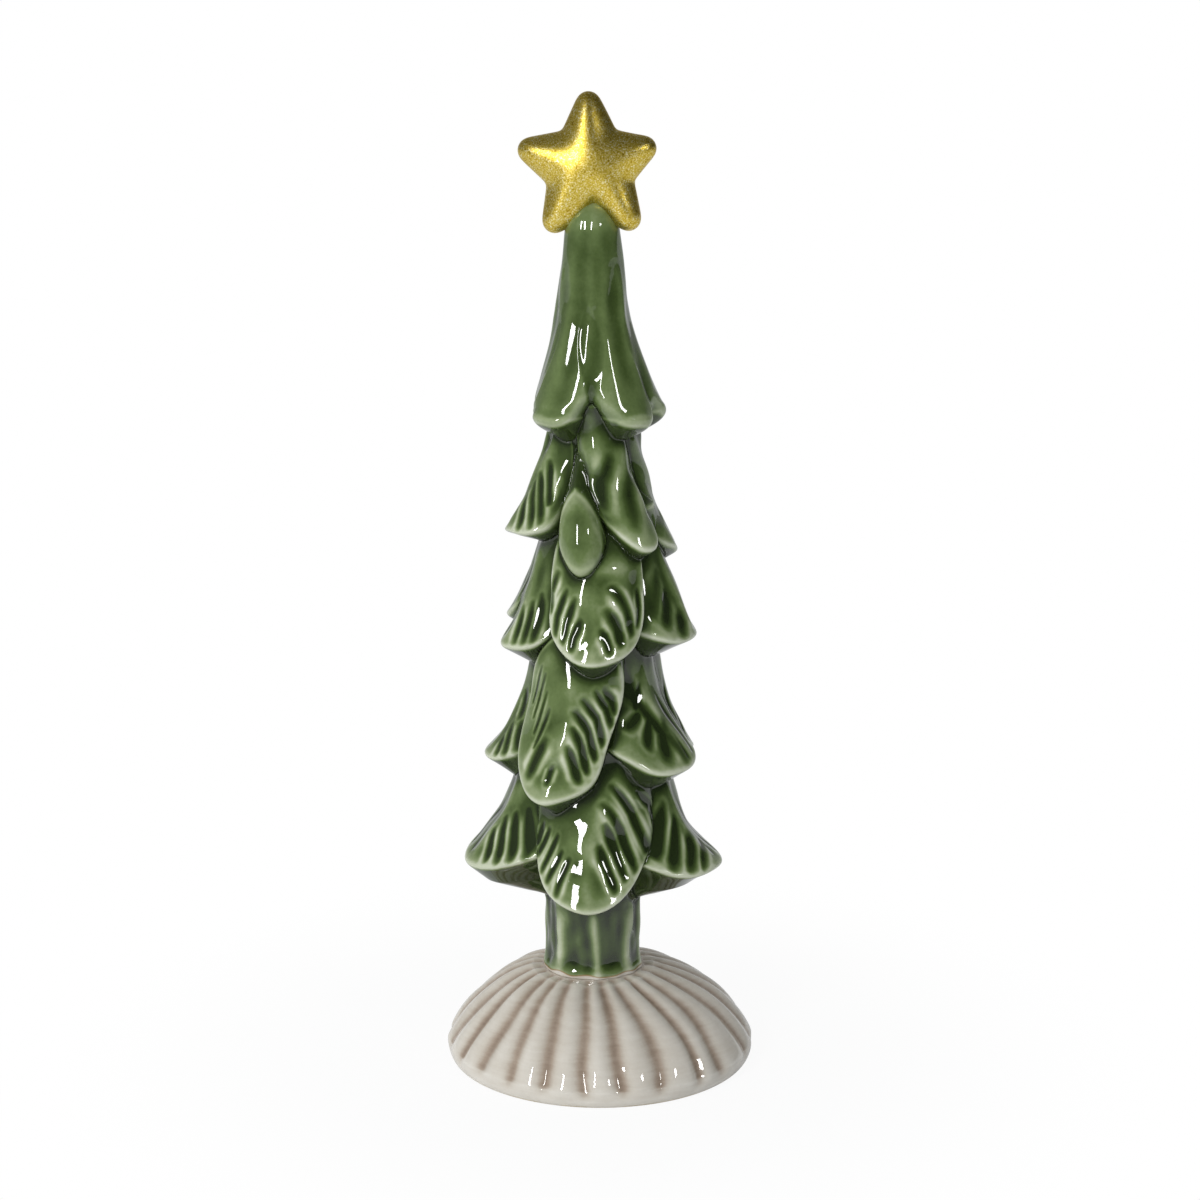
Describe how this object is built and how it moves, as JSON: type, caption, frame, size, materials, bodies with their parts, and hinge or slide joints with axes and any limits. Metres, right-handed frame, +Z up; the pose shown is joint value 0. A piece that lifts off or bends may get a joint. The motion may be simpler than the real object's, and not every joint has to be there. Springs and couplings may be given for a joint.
{
  "type": "tabletop christmas tree",
  "caption": "Free-standing glazed ceramic christmas tree: tiers of drooping leaves, a plain cone top with a puffy gold star, a ribbed trunk and a fluted domed base.",
  "frame": {"origin": "centre of the foot ring, on the surface that the tree stands on", "axes": "+Z up along the tree, front with the large leaves towards -Y, +X to the right seen from the front"},
  "size_m": [0.0836, 0.0836, 0.26],
  "materials": {
    "greige_glaze": "clear gloss glaze over a pale greige body",
    "green_glaze": "glossy translucent green glaze, dark in the grooves and pale on the edges",
    "gold_lustre": "metallic gold with a fine sparkling grain"
  },
  "bodies": {
    "root": {"base_dome": "greige_glaze", "trunk_column": "green_glaze", "leaf_tier5_back_left": "green_glaze", "leaf_tier5_back_right": "green_glaze", "leaf_tier5_left": "green_glaze", "leaf_tier5_right": "green_glaze", "leaf_tier5_front": "green_glaze", "leaf_tier4_back": "green_glaze", "leaf_tier4_back_left": "green_glaze", "leaf_tier4_side": "green_glaze", "leaf_tier4_left": "green_glaze", "leaf_tier4_right": "green_glaze", "leaf_tier4_front": "green_glaze", "leaf_tier3_rear": "green_glaze", "leaf_tier3_back": "green_glaze", "leaf_tier3_back_left": "green_glaze", "leaf_tier3_right": "green_glaze", "leaf_tier3_left": "green_glaze", "leaf_tier3_front": "green_glaze", "leaf_tier2_back": "green_glaze", "leaf_tier2_back_left": "green_glaze", "leaf_tier2_side": "green_glaze", "leaf_tier2_left": "green_glaze", "leaf_tier2_right": "green_glaze", "leaf_tier2_bud": "green_glaze", "crown_cone": "green_glaze", "gold_star": "gold_lustre"}
  },
  "joints": []
}
